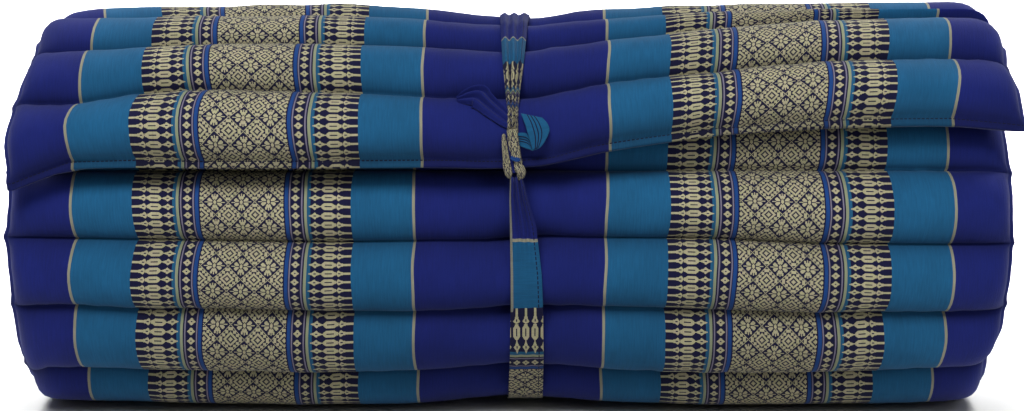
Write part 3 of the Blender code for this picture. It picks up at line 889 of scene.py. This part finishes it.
def clothRelief(tree, uv, slubs, raised, onLine):
    # Over and under threads as fine ridges, the pattern threads on top of them and the stitches sunk in.
    c = cloth
    ridges = addNode(tree, "VectorMath",
                     {"operation": "SCALE", "Scale": 2 * math.pi / c["threadPitch"]}, {0: uv})
    ridgeParts = addNode(tree, "SeparateXYZ", None, {0: ridges})
    warp = addNode(tree, "Math", {"operation": "SINE"}, {0: ridgeParts.outputs[0]})
    weft = addNode(tree, "Math", {"operation": "SINE"}, {0: ridgeParts.outputs[1]})
    height = addNode(tree, "Math", {"operation": "MULTIPLY"}, {0: warp, 1: weft})
    height = addNode(tree, "Math", {"operation": "MULTIPLY_ADD", 1: c["threadRelief"]},
                     {0: height, 2: slubs.outputs[0]})
    height = addNode(tree, "Math", {"operation": "MULTIPLY_ADD", 1: c["patternRelief"]},
                     {0: raised, 2: height})
    height = addNode(tree, "Math", {"operation": "MULTIPLY_ADD", 1: -c["stitchSink"]},
                     {0: onLine, 2: height})
    return addNode(tree, "Bump", {"Strength": c["reliefStrength"], "Distance": c["relief"]},
                   {"Height": height})


def clothMaterial(name):
    c = cloth
    material = bpy.data.materials.new(name)
    material.use_nodes = True
    tree = material.node_tree
    tree.nodes.clear()
    out = addNode(tree, "OutputMaterial")
    uv, seamMap, shadeAndStitchesMap = (addNode(tree, "UVMap", {"uv_map": layer}) for layer in ("cloth", "seam", "shadeAndStitches"))
    seamParts = addNode(tree, "SeparateXYZ", None, {0: seamMap})
    shadeAndStitchesParts = addNode(tree, "SeparateXYZ", None, {0: shadeAndStitchesMap})
    # Hand weaving wanders a little, so the bands are never ruler straight.
    waver = addNode(tree, "TexNoise",
                    {"noise_dimensions": "2D", "Scale": 1 / c["waverSize"], "Detail": 1.0}, {"Vector": uv})
    shift = addNode(tree, "VectorMath", {"operation": "SUBTRACT", 1: (0.5, 0.5, 0.5)},
                    {0: waver.outputs["Color"]})
    moved = addNode(tree, "VectorMath", {"operation": "MULTIPLY_ADD", 1: (c["waver"], c["waver"], 0)},
                    {0: shift, 2: uv})
    movedParts = addNode(tree, "SeparateXYZ", None, {0: moved})
    across, along = movedParts.outputs[0], movedParts.outputs[1]
    # Both halves of the cloth are alike, each laid out from the middle of its patterned block.
    mirrored = addNode(tree, "Math", {"operation": "ABSOLUTE"}, {0: across})
    fromCentre = addNode(tree, "Math", {"operation": "SUBTRACT", 1: c["blockCentre"]}, {0: mirrored})
    distance = addNode(tree, "Math", {"operation": "ABSOLUTE"}, {0: fromCentre})
    ground = warpBands(tree, distance)
    border, lattice = borderMask(tree, distance, along), latticeMask(tree, fromCentre, distance, along)
    raised = addNode(tree, "Math", {"operation": "MAXIMUM"}, {0: border, 1: lattice})
    # Cream threads vary from green cream to pinkish cream along the cloth.
    tint = addNode(tree, "TexNoise",
                   {"noise_dimensions": "2D", "Scale": 1 / c["creamPatch"], "Detail": 2.0}, {"Vector": uv})
    creamColours = {6: toLinear(c["cream"]), 7: toLinear(c["pinkCream"])}
    creams = addNode(tree, "Mix", {"data_type": "RGBA", **creamColours}, {0: tint.outputs[0]})
    woven = addNode(tree, "Mix", {"data_type": "RGBA"}, {0: raised, 6: ground, 7: creams.outputs[2]})
    # A selvage is plain pale yarn.
    selvage = addNode(tree, "Math", {"operation": "GREATER_THAN", 1: 0.5}, {0: seamParts.outputs[1]})
    edged = addNode(tree, "Mix", {"data_type": "RGBA", 7: toLinear(c["selvage"])},
                    {0: selvage, 6: woven.outputs[2]})
    onLine, stitch = sewingThread(tree, across, seamParts, shadeAndStitchesParts)
    sewn = addNode(tree, "Mix", {"data_type": "RGBA", 7: toLinear(c["thread"])},
                   {0: stitch, 6: edged.outputs[2]})
    slubAcross, slubAlong = c["slubSize"]
    stretched = addNode(tree, "VectorMath", {"operation": "MULTIPLY", 1: (1 / slubAcross, 1 / slubAlong, 1)},
                        {0: uv})
    slubs = addNode(tree, "TexNoise", {"noise_dimensions": "2D", "Scale": 1.0, "Detail": 3.0},
                    {"Vector": stretched})
    coloured = addNode(tree, "VectorMath", {"operation": "SCALE"},
                       {0: sewn.outputs[2], "Scale": yarnToneAndSeamShade(tree, uv, slubs, shadeAndStitchesParts)})
    shader = addNode(tree, "BsdfPrincipled",
                     {"Roughness": c["roughness"], "IOR": c["ior"], "Specular IOR Level": c["shine"],
                      "Sheen Weight": c["sheen"], "Sheen Roughness": c["sheenRoughness"],
                      "Sheen Tint": toLinear(c["sheenTint"])},
                     {"Base Color": coloured, "Normal": clothRelief(tree, uv, slubs, raised, onLine)})
    tree.links.new(shader.outputs[0], out.inputs[0])
    return material


def wordValue(word):
    return sum(0.5 ** (i + 1) for i, mark in enumerate(word) if mark == "1")


def fillRamp(ramp, stops):
    # Each stop gives where a plain run of colour ends.
    ramp.interpolation = "CONSTANT"
    starts = [0.0] + [stop[0] for stop in stops[:-1]]
    ramp.elements[0].position = 0.0
    ramp.elements[0].color = stops[0][1]
    ramp.elements.remove(ramp.elements[1])
    for start, stop in zip(starts[1:], stops[1:]):
        ramp.elements.new(start).color = stop[1]


def addBitTest(tree, words, place):
    # 1 where the word's step at this place is woven: shift the word up by the place, and see if it is odd.
    power = addNode(tree, "Math", {"operation": "ADD", 1: 1.0}, {0: place})
    power = addNode(tree, "Math", {"operation": "POWER", 0: 2.0}, {1: power})
    shifted = addNode(tree, "Math", {"operation": "MULTIPLY"}, {0: words, 1: power})
    shifted = addNode(tree, "Math", {"operation": "FLOOR"}, {0: shifted})
    return addNode(tree, "Math", {"operation": "FLOORED_MODULO", 1: 2.0}, {0: shifted})


stage = {
    "floor": "#D6D6D4",
    "floorRoughness": 0.9,
    "floorReach": 26.0,
    "sensorWidth": 36,
    "cameraDistance": 2.23,
    "cameraElevation": 5.8,
    "focalPixels": 2659,
    "imageWidth": 1024,
    "aimRise": 0.0139,
    "sky": (0.93, 0.96, 1.0, 1),
    "skyStrength": 0.12,
    # name: place, where it points, size, watts, spread in degrees
    "lamps": {
        "key": ((-0.5, -2.1, 2.4), (0, 0, 0.15), 1.2, 61.0, 180),
        "fill": ((1.4, -2.4, 1.3), (0, 0, 0.15), 1.6, 13.0, 180),
        "back": ((0.6, 2.6, 1.9), (0, 0, 0.15), 1.4, 30.0, 180),
        "floor left": ((-1.0, 0.7, 1.5), (-0.9, 0.7, 0), 0.6, 22.0, 80),
        "floor right": ((1.0, 0.7, 1.5), (0.9, 0.7, 0), 0.6, 22.0, 80),
        "floor behind": ((0, 2.6, 2.2), (0, 2.7, 0), 0.8, 190.0, 100),
        "far floor": ((0, 7, 5), (0, 7.1, 0), 3.0, 900.0, 110),
        "farther floor": ((0, 13, 5), (0, 13.1, 0), 3.0, 900.0, 110),
        "farthest floor": ((0, 19, 5), (0, 19.1, 0), 3.0, 900.0, 110),
    },
}


def makeStage():
    s = stage
    scene = bpy.context.scene
    scene.view_settings.view_transform = "Standard"
    reach = s["floorReach"]
    mesh = bpy.data.meshes.new("studio_floor")
    corners = [(-reach, -reach, 0), (reach, -reach, 0), (reach, reach, 0), (-reach, reach, 0)]
    mesh.from_pydata(corners, [], [(0, 1, 2, 3)])
    floor = bpy.data.objects.new("studio_floor", mesh)
    scene.collection.objects.link(floor)
    # Uncoated paper has no shine, so only the roll's soft shadow shows on it.
    material = bpy.data.materials.new("matt studio paper")
    material.use_nodes = True
    shader = material.node_tree.nodes["Principled BSDF"]
    shader.inputs["Base Color"].default_value = toLinear(s["floor"])
    shader.inputs["Roughness"].default_value = s["floorRoughness"]
    mesh.materials.append(material)
    world = bpy.data.worlds.new("soft daylight")
    world.use_nodes = True
    background = world.node_tree.nodes["Background"]
    background.inputs[0].default_value = s["sky"]
    background.inputs[1].default_value = s["skyStrength"]
    scene.world = world
    for name, (place, aim, size, watts, spread) in s["lamps"].items():
        light = bpy.data.lights.new(name, "AREA")
        light.size = size
        light.energy = watts
        light.spread = math.radians(spread)
        lamp = bpy.data.objects.new(name, light)
        lamp.location = place
        lamp.rotation_euler = (Vector(aim) - Vector(place)).to_track_quat("-Z", "Y").to_euler()
        scene.collection.objects.link(lamp)
    camera = bpy.data.cameras.new("camera")
    camera.sensor_width = s["sensorWidth"]
    camera.lens = s["sensorWidth"] * s["focalPixels"] / s["imageWidth"]
    eye = bpy.data.objects.new("camera", camera)
    tilt = math.radians(s["cameraElevation"])
    up, back = Vector((0, math.sin(tilt), math.cos(tilt))), Vector((0, -math.cos(tilt), math.sin(tilt)))
    target = Vector((mattress["axis"][0], mattress["axis"][1], axisHeight - mattress["pressDepth"]))
    target += up * s["aimRise"]
    eye.location = target + back * s["cameraDistance"]
    eye.rotation_euler = (target - eye.location).to_track_quat("-Z", "Y").to_euler()
    scene.collection.objects.link(eye)
    scene.camera = eye
    print("stage set")


def dress(piece, material, slotName, *nodes):
    piece.data.materials.append(material)
    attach(piece, "root")
    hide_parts(*nodes)


makeStage()
weave = clothMaterial("woven cotton, banded warp with brocade")
caseMesh = makeMattress()
dress(caseMesh, weave, "mattress_cloth", "mattress")

band, bandLength = makeTieBand()
leftEnd, leftLength = makeLeftEnd()
rightEnd, rightLength = makeRightEnd()
knot = makeKnot()
dress(band, weave, "tie_cloth", "tie_band")
dress(knot, weave, "tie_cloth", "tie_knot")
dress(leftEnd, weave, "tie_cloth", "tie_end_left")
dress(rightEnd, weave, "tie_cloth", "tie_end_right")
print("tie:", round(bandLength, 3), round(leftLength, 3), round(rightLength, 3))

bpy.context.view_layer.update()
